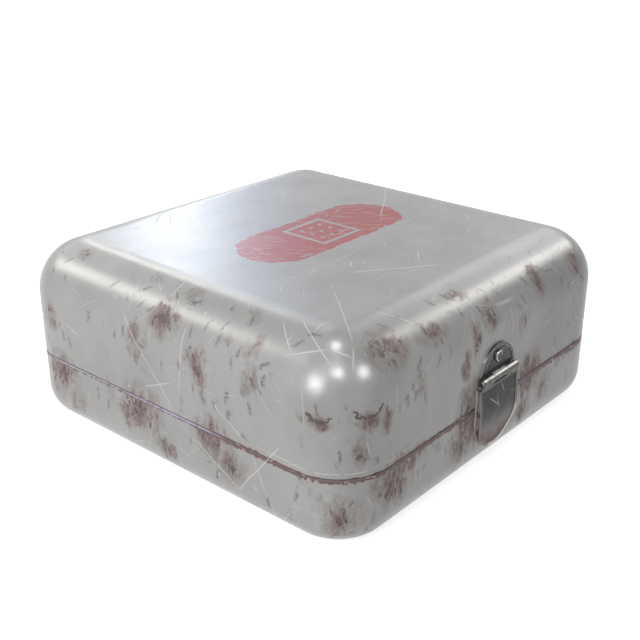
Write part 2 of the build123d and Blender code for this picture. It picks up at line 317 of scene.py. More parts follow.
# Flakes with crisp edges that fill in as the grain's limit falls from rare to dense
flakeShape = {
    "grain": {"detail": 6, "roughness": 0.68, "distortion": 0.7},
    "rare": 0.72,
    "dense": 0.46,
}


def makeFlakeGroup(shape):
    inputs = {"Vector": (0, 0, 0), "Scale": 0.3, "Density": 0.5, "Softness": 0.03}
    tree, given, out = newGroup("flakes", inputs, "Mask")
    grain = cloud(tree, given["Vector"], given["Scale"], **shape["grain"])
    limit = ranged(tree, given["Density"], 0, 1, shape["rare"], shape["dense"], smooth=False)
    over = sums(tree, "DIVIDE", minus(tree, grain, limit), given["Softness"])
    tree.links.new(ranged(tree, over, 0, 1), out)
    return tree


# Straight strokes: round each random point, one thin plane cuts the surface.
# Upright turns the planes: a low last number makes the strokes run up and down
strokeShape = {"bendScale": 0.012, "fullLength": 0.5, "faintest": 0.35}


def makeStrokeGroup(shape):
    inputs = {
        "Vector": (0, 0, 0), "Upright": (1, 1, 1), "Spacing": 30.0, "Length": 15.0,
        "Width": 0.2, "Bend": 8.0, "Amount": 0.6,
    }
    tree, given, out = newGroup("strokes", inputs, "Mask")
    bent = warped(tree, given["Vector"], scale=shape["bendScale"], detail=1, reach=given["Bend"])
    density = sums(tree, "DIVIDE", 1.0, given["Spacing"])
    cells = add(tree, "TexVoronoi", {"Vector": bent, "Scale": density}).outputs
    local = vectors(tree, "SUBTRACT", bent, cells["Position"])
    facing = vectors(tree, "SUBTRACT", cells["Color"], middleGrey)
    facing = vectors(tree, "NORMALIZE", vectors(tree, "MULTIPLY", facing, given["Upright"]))
    off = sums(tree, "ABSOLUTE", vectors(tree, "DOT_PRODUCT", local, facing))
    line = ranged(tree, off, given["Width"], 0.0)
    shortened = times(tree, given["Length"], shape["fullLength"])
    within = ranged(tree, vectors(tree, "LENGTH", local), given["Length"], shortened)
    chance = add(tree, "TexWhiteNoise", {"Vector": cells["Position"]}, noise_dimensions="3D").outputs["Value"]
    faintest = minus(tree, given["Amount"], shape["faintest"])
    kept = ranged(tree, chance, given["Amount"], faintest)
    tree.links.new(times(tree, line, within, kept), out)
    return tree


# One long cut in a known place: the plane through it, and how it fades in at both ends
cutShape = {"before": -0.5, "full": 5}


def makeCutGroup(shape):
    inputs = {
        "Vector": (0, 0, 0), "Start": (0, 0, 0), "Along": (1, 0, 0), "Facing": (0, 0, 1),
        "Length": 30.0, "Width": 0.3,
    }
    tree, given, out = newGroup("longCut", inputs, "Mask")
    local = vectors(tree, "SUBTRACT", given["Vector"], given["Start"])
    off = sums(tree, "ABSOLUTE", vectors(tree, "DOT_PRODUCT", local, given["Facing"]))
    line = ranged(tree, off, given["Width"], 0.0)
    along = vectors(tree, "DOT_PRODUCT", local, given["Along"])
    fromStart = ranged(tree, along, shape["before"], shape["full"])
    fromEnd = ranged(tree, minus(tree, given["Length"], along), shape["before"], shape["full"])
    tree.links.new(times(tree, line, fromStart, fromEnd), out)
    return tree


# A curved mark, the lower part of a ring: where it starts and is full, as shares of the radius
arcShape = {"starts": -0.1, "full": -0.5}


def makeArcGroup(shape):
    inputs = {"Vector": (0, 0, 0), "Centre": (0, 0, 0), "Radius": 6.0, "Width": 1.0}
    tree, given, out = newGroup("arc", inputs, "Mask")
    local = vectors(tree, "SUBTRACT", given["Vector"], given["Centre"])
    away = apart(tree, vectors(tree, "LENGTH", local), given["Radius"])
    line = ranged(tree, away, given["Width"], 0.0)
    height = sums(tree, "DIVIDE", separated(tree, local)["Z"], given["Radius"])
    lower = ranged(tree, height, shape["starts"], shape["full"])
    tree.links.new(times(tree, line, lower), out)
    return tree


# Worn edges, where a rounded normal leaves the true one
edgeShape = {
    "samples": 4,
    "grain": {"scale": 0.5, "detail": 3, "roughness": 0.6},
    "grainHeight": 0.1,
    "full": 0.03,
}


def makeEdgeGroup(shape):
    inputs = {"Vector": (0, 0, 0), "Radius": 0.0006, "Amount": 1.0, "Breakup": 0.5}
    tree, given, out = newGroup("edgeWear", inputs, "Mask")
    rounded = add(tree, "Bevel", {"Radius": given["Radius"]}, samples=shape["samples"]).outputs["Normal"]
    straight = add(tree, "NewGeometry").outputs["Normal"]
    turn = minus(tree, 1.0, vectors(tree, "DOT_PRODUCT", rounded, straight))
    grain = times(tree, cloud(tree, given["Vector"], **shape["grain"]), shape["grainHeight"])
    uneven = minus(tree, turn, times(tree, given["Breakup"], grain))
    tree.links.new(times(tree, ranged(tree, uneven, 0.0, shape["full"]), given["Amount"]), out)
    return tree


spotGroup = makeSpotGroup(spotShape)
flakeGroup = makeFlakeGroup(flakeShape)
strokeGroup = makeStrokeGroup(strokeShape)
cutGroup = makeCutGroup(cutShape)
arcGroup = makeArcGroup(arcShape)
edgeGroup = makeEdgeGroup(edgeShape)
print("effect groups made")

# Places read from the frame, in millimetres
millimetres = 1000
seamGap = 0.5
lidLow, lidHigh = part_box("lid_shell")
pinLow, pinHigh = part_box("latch_pin")
seamHeight = lidLow[2] * millimetres - seamGap / 2
lidTop = lidHigh[2] * millimetres
boxMiddle = (0, 0, lidTop / 2)
pinOut = (pinLow[1] + pinHigh[1]) / 2 * millimetres
pinHeight = (pinLow[2] + pinHigh[2]) / 2 * millimetres


# A new material with its own coordinates in millimetres
def newMaterial(name):
    material = bpy.data.materials.new(name)
    material.use_nodes = True
    tree = material.node_tree
    place = add(tree, "TexCoord").outputs
    return material, tree, scaled(tree, place["Object"], millimetres), place["Normal"]


# Joins what was made to the material's shader. The relief is in metres
def finishMaterial(tree, colour, roughness, height, relief):
    shader = tree.nodes["Principled BSDF"]
    tree.links.new(colour, shader.inputs["Base Color"])
    tree.links.new(roughness, shader.inputs["Roughness"])
    bump = add(tree, "Bump", {"Height": height, "Distance": relief, "Strength": 1.0})
    tree.links.new(bump.outputs["Normal"], shader.inputs["Normal"])
    return shader


# One cut between two places, on a surface that faces outward there
def cutMask(tree, place, start, end, outward, width):
    run = Vector(end) - Vector(start)
    return useGroup(
        tree, cutGroup, Vector=place, Start=start, Along=run.normalized(),
        Facing=run.cross(outward).normalized(), Length=run.length, Width=width
    )


# Rust stains: middle and reach in millimetres, and strength
leftStains = [
    ((-121, 0, 92), (12, 12, 14), 1.0), ((-125, 19, 76), (8, 12, 15), 0.6),
    ((-125, 95, 69), (8, 8, 11), 0.6), ((-125, 90, 34), (8, 19, 18), 0.85),
    ((-125, 79, 22), (8, 12, 12), 0.5), ((-106, 19, 106), (8, 8, 6), 0.35),
    ((-107, -10, 105), (9, 9, 6), 0.5), ((-106, -52, 106), (9, 8, 5), 0.5),
    ((-108, 80, 105), (9, 8, 6), 0.5), ((-119, -62, 94), (8, 8, 9), 0.6),
    ((-120, -44, 94), (6, 6, 5), 0.4), ((-125, -27, 75), (8, 12, 15), 0.7),
    ((-125, -63, 79), (8, 7, 13), 0.6), ((-125, 22, 35), (8, 23, 18), 0.85),
    ((-125, 0, 17), (10, 12, 9), 0.85), ((-125, -36, 38), (8, 18, 14), 0.87),
    ((-125, -50, 27), (8, 14, 13), 0.8),
]
cornerStains = [
    ((-87, -116, 99), (19, 12, 11), 0.95), ((-122, -105, 73), (7, 11, 5), 1.0),
    ((-107, -122, 71), (9, 8, 6), 0.8), ((-96, -125, 70), (6, 8, 10), 1.0),
    ((-110, -120, 57), (5, 6, 10), 1.0), ((-117, -115, 22), (15, 15, 14), 0.8),
]
frontStains = [
    ((-52, -118, 97), (15, 10, 9), 0.8), ((-21, -108, 104), (13, 10, 6), 0.75),
    ((-3, -122, 91), (8, 10, 13), 1.0), ((-19, -125, 83), (7, 8, 12), 0.9),
    ((-29, -125, 73), (8, 8, 11), 0.85), ((47, -119, 96), (9, 10, 14), 1.0),
    ((88, -120, 94), (11, 9, 12), 0.85), ((28, -125, 77), (10, 8, 9), 0.65),
    ((-70, -125, 77), (7, 8, 12), 0.6), ((86, -125, 42), (15, 8, 6), 0.95),
    ((36, -125, 43), (20, 8, 18), 1.15), ((34, -125, 20), (10, 8, 12), 0.9),
    ((-27, -125, 42), (12, 8, 22), 0.95), ((-32, -125, 27), (15, 8, 16), 0.85),
    ((-76, -125, 38), (14, 8, 8), 0.85), ((-88, -125, 32), (18, 8, 18), 1.0),
    ((54, -125, 29), (12, 8, 12), 0.75),
]

# Dark curved marks: centre and radius of the ring in millimetres
arcs = [((-106, -122, 82), 8.5), ((-122.5, -105.5, 78), 6)]

# How stains look. Their field adds clouds to the spots, and its height gives smudge, patch and flakes
stainLook = {
    "pull": {"scale": 0.05, "detail": 3, "reach": 14.0},
    "unseenScale": 0.024,
    "unseenLimits": (0.53, 0.68),
    "upright": (1, 1, 0.5),
    "streaks": {"scale": 0.25, "detail": 2, "reach": 3.5},
    "broad": {"scale": 0.12, "detail": 4, "roughness": 0.6},
    "broadSwing": 2.4,
    "ragged": {"scale": 0.4, "detail": 4, "roughness": 0.6},
    "raggedSwing": 1.2,
    "startOfField": (0.02, 0.25),
    "smudgeLimits": (-0.3, 0.8),
    "smudgeShare": 0.62,
    "strandScale": 0.6,
    "strandLimits": (0.36, 0.56, 0.7, 1.0),
    "patchLimits": (0.42, 0.78),
    "patchShare": 0.82,
    "depthLimits": (0.6, 1.15),
    "flakes": {"Scale": 0.4, "Softness": 0.03},
    "flakeShare": 0.96,
    "flakeLimits": (0.15, 0.5),
    "arcBend": {"scale": 0.25, "detail": 3, "reach": 6.0},
    "arcWidth": 2.6,
    "tear": {"scale": 0.3, "detail": 4, "roughness": 0.7},
    "tearLimits": (0.35, 0.44),
}


# Rust stains as masks: a soft smudge, a brown patch with its depth, and crisp dark flakes
def stainMasks(tree, place, unseen, look):
    pulled = warped(tree, place, **look["pull"])
    density = ranged(tree, cloud(tree, place, look["unseenScale"]), *look["unseenLimits"])
    density = times(tree, density, unseen)
    for centre, reach, strength in leftStains + cornerStains + frontStains:
        spot = useGroup(tree, spotGroup, Vector=pulled, Centre=centre, Reach=reach, Strength=strength)
        density = most(tree, density, spot)
    # Everything runs down the walls, so the clouds are long upright
    streaky = warped(tree, vectors(tree, "MULTIPLY", place, look["upright"]), **look["streaks"])
    broad = swung(tree, cloud(tree, streaky, **look["broad"]), look["broadSwing"])
    ragged = swung(tree, cloud(tree, streaky, **look["ragged"]), look["raggedSwing"])
    field = plus(tree, density, broad, ragged)
    field = times(tree, field, ranged(tree, density, *look["startOfField"]))
    smudge = times(tree, ranged(tree, field, *look["smudgeLimits"]), look["smudgeShare"])
    strands = ranged(tree, cloud(tree, streaky, look["strandScale"]), *look["strandLimits"])
    patch = times(tree, ranged(tree, field, *look["patchLimits"]), strands, look["patchShare"])
    depth = ranged(tree, field, *look["depthLimits"])
    thinned = times(tree, density, look["flakeShare"])
    flake = useGroup(tree, flakeGroup, Vector=streaky, Density=thinned, **look["flakes"])
    flake = times(tree, flake, ranged(tree, field, *look["flakeLimits"]))
    bent = warped(tree, place, **look["arcBend"])
    rings = chained(tree, "MAXIMUM", (
        useGroup(tree, arcGroup, Vector=bent, Centre=centre, Radius=radius, Width=look["arcWidth"])
        for centre, radius in arcs
    ))
    torn = times(tree, rings, cloud(tree, place, **look["tear"]))
    flake = most(tree, flake, ranged(tree, torn, *look["tearLimits"]))
    return smudge, patch, depth, flake


# The seam, in millimetres: rust reaches below it and, at the front, over the lid's lower edge.
# On the left the base's upper edge has a pale purplish band
seamLook = {
    "frontByY": (-20, -60),
    "frontByX": (-100, -80),
    "cornerBySum": (-175, -215),
    "upright": (1, 1, 0.8),
    "warp": {"scale": 0.5, "detail": 2, "reach": 1.5},
    "flaky": {"scale": 0.4, "detail": 4, "roughness": 0.65},
    "flakySwing": 5.0,
    "below": {"everywhere": 1.9, "front": 0.9, "corner": -0.3},
    "above": {"everywhere": -0.4, "front": 1.6, "corner": -0.8},
    "rustLimits": (-0.1, 0.25),
    "baseSide": (0.4, 0.3),
    "lidSide": (0.2, 0.3),
    "bandMiddle": -0.8,
    "chipStretch": (0.8, 0.8, 2.0),
    "chips": {"scale": 0.3, "detail": 3, "roughness": 0.6, "distortion": 0.5},
    "chipLimits": (0.6, 0.65),
    "chipBand": (1.8, 1.2),
    "rimBand": (0.65, 0.4),
    "gaps": {"scale": 0.3, "detail": 3, "roughness": 0.6},
    "gapLimits": (0.4, 0.5, 0.45, 1),
    "rimByX": (-122, -124),
    "rimByY": (-50, -30),
    "scratchAbove": 5.0,
    "scratchWave": 3.0,
    "scratchWaveScale": 0.03,
    "scratchWidth": (0.35, 0.05),
    "scratchBreakScale": 0.08,
    "scratchBreaks": (0.4, 0.5),
}


# How far rust reaches from the seam, more at the front and less at the near corner
def seamReach(tree, amounts, front, corner, flaky):
    reach = withShare(tree, amounts["everywhere"], front, amounts["front"])
    reach = withShare(tree, reach, corner, amounts["corner"])
    return plus(tree, reach, flaky)


def seamMasks(tree, place, xyz, look):
    above = minus(tree, xyz["Z"], seamHeight)
    below = times(tree, above, -1.0)
    front = most(tree, ranged(tree, xyz["Y"], *look["frontByY"]), ranged(tree, xyz["X"], *look["frontByX"]))
    corner = ranged(tree, plus(tree, xyz["X"], xyz["Y"]), *look["cornerBySum"])
    uneven = warped(tree, vectors(tree, "MULTIPLY", place, look["upright"]), **look["warp"])
    flaky = swung(tree, cloud(tree, uneven, **look["flaky"]), look["flakySwing"])
    reach = seamReach(tree, look["below"], front, corner, flaky)
    rust = ranged(tree, minus(tree, reach, below), *look["rustLimits"])
    rust = times(tree, rust, ranged(tree, above, *look["baseSide"]))
    reach = seamReach(tree, look["above"], front, corner, flaky)
    lip = ranged(tree, minus(tree, reach, above), *look["rustLimits"])
    lip = times(tree, lip, ranged(tree, above, *look["lidSide"]))
    rust = most(tree, rust, lip)

    fromBand = apart(tree, above, look["bandMiddle"])
    chips = cloud(tree, vectors(tree, "MULTIPLY", place, look["chipStretch"]), **look["chips"])
    chips = ranged(tree, chips, *look["chipLimits"])
    chips = times(tree, chips, ranged(tree, fromBand, *look["chipBand"]), front)
    # A pale purplish band along the base's upper edge on the left
    paleRim = ranged(tree, fromBand, *look["rimBand"])
    gaps = ranged(tree, cloud(tree, place, **look["gaps"]), *look["gapLimits"])
    onLeft = times(tree, ranged(tree, xyz["X"], *look["rimByX"]), ranged(tree, xyz["Y"], *look["rimByY"]))
    paleRim = times(tree, paleRim, onLeft, gaps)

    # One long pale scratch goes round the near corner, level with the seam
    wave = cloud(tree, place, look["scratchWaveScale"])
    wave = sums(tree, "MULTIPLY_ADD", wave, look["scratchWave"], -look["scratchAbove"])
    level = ranged(tree, sums(tree, "ABSOLUTE", plus(tree, above, wave)), *look["scratchWidth"])
    breaks = ranged(tree, cloud(tree, place, look["scratchBreakScale"]), *look["scratchBreaks"])
    level = times(tree, level, corner, breaks)
    return rust, chips, paleRim, level


# Short scratches all over, from long and rare ones to small dents, in millimetres
shortScratches = [
    {"Spacing": 40.0, "Length": 24.0, "Width": 0.3, "Bend": 8.0, "Amount": 0.8},
    {"Spacing": 22.0, "Length": 12.0, "Width": 0.25, "Bend": 5.0, "Amount": 0.85},
    {"Spacing": 11.0, "Length": 4.0, "Width": 0.4, "Bend": 2.0, "Amount": 0.55},
    {"Spacing": 15.0, "Length": 1.4, "Width": 1.1, "Bend": 0.0, "Amount": 0.7},
]


def shortScratchMask(tree, place, kinds):
    def strokes(kind):
        shift = tuple(step * kind["Spacing"] for step in (1, 2, 3))
        return useGroup(tree, strokeGroup, Vector=vectors(tree, "ADD", place, shift), **kind)

    return chained(tree, "MAXIMUM", (strokes(kind) for kind in kinds))


# Long scratches: both ends on the surface, in millimetres
longScratches = {
    "ends": [
        ((-100, -77, 107), (-114, -106, 98)), ((-101, -108, 104), (-109, -114, 95)),
        ((-117, -85, 98), (-109, -101, 103)), ((-109, -101, 103), (-105, -112, 100)),
        ((-107, -122, 62), (-105, -123, 51)), ((-105, -68, 106), (-117, -84, 99)),
        ((-123, 31, 89), (-125, -8, 44)), ((-125, -22, 34), (-125, -55, 15)),
        ((-120, -17, 94), (-125, -13, 56)), ((-125, -84, 52), (-125, -54, 14)),
        ((-125, -37, 59), (-125, -60, 46)), ((-125, 15, 50), (-125, -8, 60)),
        ((-125, 84, 68), (-125, 67, 63)), ((-101, 3, 107), (-114, 3, 101)),
        ((15, -122, 91), (15, -125, 72)), ((-17, -117, 98), (-20, -123, 87)),
        ((-40, -55, 108), (2, -85, 108)), ((-63, -65, 108), (-101, -108, 104)),
        ((-41, -125, 31), (-33, -125, 35)), ((-71, -95, 108), (-57, -114, 101)),
    ],
    "width": 0.5,
    "curve": {"scale": 0.03, "detail": 2, "reach": 2.5},
}


def longScratchMask(tree, place, look):
    curved = warped(tree, place, **look["curve"])

    def cut(start, end):
        outward = (Vector(start) + Vector(end)) / 2 - Vector(boxMiddle)
        return cutMask(tree, curved, start, end, outward, look["width"])

    return chained(tree, "MAXIMUM", (cut(start, end) for start, end in look["ends"]))


# The sticking plaster painted on the lid, in millimetres: a bar with round ends, a square pad and its dots
plaster = {
    "middle": (3, 0),
    "straightHalf": 38,
    "radius": 24,
    "padHalf": 15.5,
    "padLine": 1.4,
    "dotPitch": 8,
    "dotRadius": 1.5,
    "dotMargin": 3,
    "soft": 0.4,
    "depth": 1,
    "fray": {"scale": 0.16, "detail": 4, "roughness": 0.6},
    "frayReach": 7.0,
    "fraySetBack": -3.6,
    "edge": (0.25, -0.25),
}


def plasterMask(tree, place, xyz, outside, look):
    x = minus(tree, xyz["X"], look["middle"][0])
    y = minus(tree, xyz["Y"], look["middle"][1])
    past = most(tree, minus(tree, sums(tree, "ABSOLUTE", x), look["straightHalf"]), 0.0)
    fromOutline = minus(tree, flatLength(tree, past, y), look["radius"])
    fray = cloud(tree, place, **look["fray"])
    fray = sums(tree, "MULTIPLY_ADD", fray, look["frayReach"], look["fraySetBack"])
    bar = ranged(tree, plus(tree, fromOutline, fray), *look["edge"])
    # The pad's outline and dots stay unpainted
    across = most(tree, sums(tree, "ABSOLUTE", x), sums(tree, "ABSOLUTE", y))
    line = apart(tree, across, look["padHalf"])
    line = ranged(tree, line, look["padLine"], look["padLine"] - look["soft"])
    half = look["dotPitch"] / 2
    dot = flatLength(tree, sums(tree, "PINGPONG", x, half), sums(tree, "PINGPONG", y, half))
    dot = ranged(tree, dot, look["dotRadius"], look["dotRadius"] - look["soft"])
    dotsEnd = look["padHalf"] - look["dotMargin"]
    dot = times(tree, dot, ranged(tree, across, dotsEnd, dotsEnd - look["soft"]))
    bar = times(tree, bar, minus(tree, 1.0, most(tree, line, dot)))
    paintEnds = lidTop - look["depth"]
    return times(tree, bar, ranged(tree, xyz["Z"], paintEnds, paintEnds + look["soft"]), outside)


# Small dark flecks that run down the walls, in clusters
flecks = {
    "strokes": {"Upright": (1, 1, 0.25), "Spacing": 9.5, "Length": 5.0, "Width": 1.3, "Bend": 0.0},
    "clusterScale": 0.035,
    "clusterLimits": (0.36, 0.62, 0.3, 1.0),
    "warp": {"scale": 0.5, "detail": 3, "reach": 3.0},
    "grain": {"scale": 1.0, "detail": 3, "roughness": 0.7},
    "grainLimits": (0.4, 0.5),
}


def fleckMask(tree, place, onWalls, look):
    clusters = ranged(tree, cloud(tree, place, look["clusterScale"]), *look["clusterLimits"])
    uneven = warped(tree, place, **look["warp"])
    mask = useGroup(tree, strokeGroup, Vector=uneven, Amount=clusters, **look["strokes"])
    grain = ranged(tree, cloud(tree, place, **look["grain"]), *look["grainLimits"])
    return times(tree, mask, grain, onWalls)


# The plaster's paint: rubbed through to the coat by strokes along one direction, and thin in patches
plasterPaint = {
    "red": paint(164, 14, 22),
    "paleRed": paint(172, 30, 40),
    "tone": {"scale": 0.05, "detail": 3},
    "toneLimits": (0.45, 0.7),
    "angle": 42,
    "strokes": {
        "Upright": (0.1, 1, 0.15), "Spacing": 9.0, "Length": 8.0, "Width": 0.8, "Bend": 3.0, "Amount": 0.9
    },
    "strokeShare": 0.7,
    "stretch": (0.4, 1, 1),
    "patches": {"scale": 0.12, "detail": 4, "roughness": 0.65},
    "patchLimits": (0.6, 0.68),
    "patchShare": 0.35,
}


def plasterColour(tree, place, coat, look):
    turn = {"Vector": place, "Angle": math.radians(look["angle"])}
    turned = add(tree, "VectorRotate", turn, rotation_type="Z_AXIS").outputs[0]
    rubbed = useGroup(tree, strokeGroup, Vector=turned, **look["strokes"])
    worn = cloud(tree, vectors(tree, "MULTIPLY", turned, look["stretch"]), **look["patches"])
    worn = ranged(tree, worn, *look["patchLimits"])
    tone = ranged(tree, cloud(tree, turned, **look["tone"]), *look["toneLimits"])
    painted = blended(tree, tone, look["red"], look["paleRed"])
    painted = blended(tree, times(tree, rubbed, look["strokeShare"]), painted, coat)
    return blended(tree, times(tree, worn, look["patchShare"]), painted, coat)


# Grime and painted shade that darken the front wall towards its far end and top
grimeAndShadeLook = {
    "drift": {"scale": 0.03, "detail": 3},
    "driftReach": 120.0,
    "alongX": (-20, 80),
    "frontByY": (-108, -124),
    "upZ": (20, 45),
    "share": 0.55,
}


def grimeAndShadeMask(tree, place, xyz, look):
    along = plus(tree, xyz["X"], swung(tree, cloud(tree, place, **look["drift"]), look["driftReach"]))
    onFront = times(tree, ranged(tree, xyz["Y"], *look["frontByY"]), ranged(tree, xyz["Z"], *look["upZ"]))
    return times(tree, ranged(tree, along, *look["alongX"]), onFront, look["share"])


enamel = {
    "coat": paint(174, 175, 174),
    "coatShade": paint(158, 158, 157),
    "inside": paint(160, 160, 152),
    "insideShade": paint(142, 141, 133),
    "grimeAndShade": paint(106, 106, 109),
    "smudge": paint(124, 110, 106),
    "rustPale": paint(129, 113, 108),
    "rustDeep": paint(96, 67, 67),
    "rustDark": paint(63, 46, 47),
    "seamRust": paint(88, 58, 62),
    "scratch": paint(218, 218, 216),
    "chip": paint(190, 178, 174),
    "fleck": paint(84, 78, 77),
    "paleRimColour": paint(172, 165, 186),
    # How far each shows
    "fleckShare": 0.85,
    "flakeShare": 0.9,
    "seamShare": 0.92,
    "scratchShare": 0.72,
    "shortScratchShare": 0.7,
    "insideFlecks": 0.3,
    "insideScratches": 0.3,
    "unseenByNormal": (0.4, 0.8),  # the two walls that the photograph hides
    "wallsEnd": (0.2, 3),  # millimetres below the lid's top
    "outsideLimits": (-0.5, 0.5),
    "shadeStretch": (1, 1, 0.6),
    "shade": {"scale": 0.03, "detail": 5, "roughness": 0.6},
    "shadeLimits": (0.3, 0.75),
    "insideShadeLimits": (0.35, 0.65),
    "roughness": 0.26,
    "roughnessCloud": {"scale": 0.05, "detail": 4},
    "rougherInClouds": 0.08,
    "rougherInRust": 0.25,
    "rougherInScratches": 0.15,
    "relief": 0.00015,
    "rustGrain": {"scale": 1.2, "detail": 3},
    "scratchDepth": 0.5,
    "ripples": {"scale": 0.35, "detail": 3},
    "rippleHeight": 0.15,
}


def insideColour(tree, shade, fleck, short, look):
    shaded = ranged(tree, shade, *look["insideShadeLimits"])
    colour = blended(tree, shaded, look["inside"], look["insideShade"])
    colour = blended(tree, times(tree, fleck, look["insideFlecks"]), colour, look["smudge"])
    return blended(tree, times(tree, short, look["insideScratches"]), colour, look["scratch"])


def makeEnamel(look):
    material, tree, place, normal = newMaterial("wornEnamel")
    xyz = separated(tree, place)
    fromMiddle = vectors(tree, "SUBTRACT", place, boxMiddle)
    outside = ranged(tree, vectors(tree, "DOT_PRODUCT", fromMiddle, normal), *look["outsideLimits"])
    facing = separated(tree, normal)
    unseen = most(tree, *(ranged(tree, facing[axis], *look["unseenByNormal"]) for axis in "XY"))
    onWalls = ranged(tree, xyz["Z"], *(lidTop - depth for depth in look["wallsEnd"]))

    smudge, patch, depth, flake = stainMasks(tree, place, unseen, stainLook)
    seam, chips, paleRim, level = seamMasks(tree, place, xyz, seamLook)
    short = shortScratchMask(tree, place, shortScratches)
    faint = times(tree, short, look["shortScratchShare"])
    scratch = most(tree, faint, longScratchMask(tree, place, longScratches), level)
    mark = plasterMask(tree, place, xyz, outside, plaster)
    fleck = fleckMask(tree, place, onWalls, flecks)

    painted = plasterColour(tree, place, look["coat"], plasterPaint)
    shade = cloud(tree, vectors(tree, "MULTIPLY", place, look["shadeStretch"]), **look["shade"])
    colour = blended(tree, ranged(tree, shade, *look["shadeLimits"]), look["coat"], look["coatShade"])
    colour = blended(tree, mark, colour, painted)
    # Grime and painted shade on the front wall
    colour = blended(tree, grimeAndShadeMask(tree, place, xyz, grimeAndShadeLook), colour, look["grimeAndShade"])
    colour = blended(tree, times(tree, fleck, look["fleckShare"]), colour, look["fleck"])
    colour = blended(tree, smudge, colour, look["smudge"])
    colour = blended(tree, patch, colour, blended(tree, depth, look["rustPale"], look["rustDeep"]))
    colour = blended(tree, times(tree, flake, look["flakeShare"]), colour, look["rustDark"])
    colour = blended(tree, times(tree, seam, look["seamShare"]), colour, look["seamRust"])
    colour = blended(tree, paleRim, colour, look["paleRimColour"])
    colour = blended(tree, chips, colour, look["chip"])
    colour = blended(tree, times(tree, scratch, look["scratchShare"]), colour, look["scratch"])
    colour = blended(tree, outside, insideColour(tree, shade, fleck, short, look), colour)

    rusty = most(tree, flake, patch, seam)
    clouds = cloud(tree, place, **look["roughnessCloud"])
    roughness = withShare(tree, look["roughness"], clouds, look["rougherInClouds"])
    roughness = withShare(tree, roughness, rusty, look["rougherInRust"])
    roughness = withShare(tree, roughness, scratch, look["rougherInScratches"])
    height = times(tree, seam, cloud(tree, place, **look["rustGrain"]))
    height = minus(tree, height, times(tree, short, look["scratchDepth"]))
    height = withShare(tree, height, cloud(tree, place, **look["ripples"]), look["rippleHeight"])
    finishMaterial(tree, colour, roughness, height, look["relief"])
    return material


# Plain steel, in millimetres, with the edges' radius and the relief in metres.
# Rust thins out over rustFade up to the height rustTop
hingeLook = {
    "steel": paint(104, 102, 99),
    "dull": paint(80, 76, 72),
    "bright": paint(186, 186, 184),
    "rust": paint(108, 76, 74),
    "tone": {"scale": 0.2, "detail": 4, "roughness": 0.6},
    "toneLimits": (0.35, 0.7),
    "fineStrokes": {"Spacing": 5.0, "Length": 3.0, "Width": 0.12, "Bend": 1.0, "Amount": 0.55},
    "longStrokes": {"Spacing": 11.0, "Length": 8.0, "Width": 0.14, "Bend": 2.0, "Amount": 0.55},
    "scratchShare": 0.6,
    "scratchDepth": 0.4,
    "edges": {"Radius": 0.0005, "Amount": 0.8, "Breakup": 0.6},
    "flakes": {"Scale": 0.45, "Softness": 0.12},
    "rusty": 0.75,
    "rustTop": 60,
    "rustFade": 12,
    "leastRust": 0.15,
    "rustGrain": {"scale": 2.0, "detail": 3},
    "roughness": 0.32,
    "rougherByTone": 0.2,
    "rougherInRust": 0.3,
    "metalLost": 0.8,
    "relief": 0.0001,
}
bandLook = dict(
    hingeLook, steel=paint(168, 168, 164), dull=paint(134, 132, 126), rusty=0.5, rustTop=44, roughness=0.26
)
springLook = dict(
    hingeLook, steel=paint(78, 82, 92), dull=paint(56, 56, 62), rusty=0.3, rustTop=30, roughness=0.18
)


# Uneven steel before it is worn: returns its colour and the tone behind it
def steelTone(tree, place, look):
    tone = cloud(tree, place, **look["tone"])
    return blended(tree, ranged(tree, tone, *look["toneLimits"]), look["steel"], look["dull"]), tone


# Less metallic where it is covered, with grain in the rust and scratches cut into the steel
def finishSteel(tree, place, look, colour, roughness, covered, rust, scratch):
    metal = withShare(tree, 1.0, covered, -look["metalLost"])
    raised = times(tree, rust, cloud(tree, place, **look["rustGrain"]))
    raised = minus(tree, raised, times(tree, scratch, look["scratchDepth"]))
    shader = finishMaterial(tree, colour, roughness, raised, look["relief"])
    tree.links.new(metal, shader.inputs["Metallic"])


def makeSteel(name, look):
    material, tree, place = newMaterial(name)[:3]
    colour, tone = steelTone(tree, place, look)
    fine = useGroup(tree, strokeGroup, Vector=place, **look["fineStrokes"])
    long = useGroup(tree, strokeGroup, Vector=place, **look["longStrokes"])
    scratch = most(tree, fine, long)
    edge = useGroup(tree, edgeGroup, Vector=place, **look["edges"])
    height = separated(tree, place)["Z"]
    low = ranged(tree, height, look["rustTop"], look["rustTop"] - look["rustFade"], look["leastRust"], 1)
    density = times(tree, low, look["rusty"])
    rust = useGroup(tree, flakeGroup, Vector=place, Density=density, **look["flakes"])
    colour = blended(tree, times(tree, scratch, look["scratchShare"]), colour, look["bright"])
    colour = blended(tree, rust, colour, look["rust"])
    colour = blended(tree, edge, colour, look["bright"])
    roughness = withShare(tree, look["roughness"], tone, look["rougherByTone"])
    roughness = withShare(tree, roughness, rust, look["rougherInRust"])
    finishSteel(tree, place, look, colour, roughness, rust, rust, scratch)
    return material
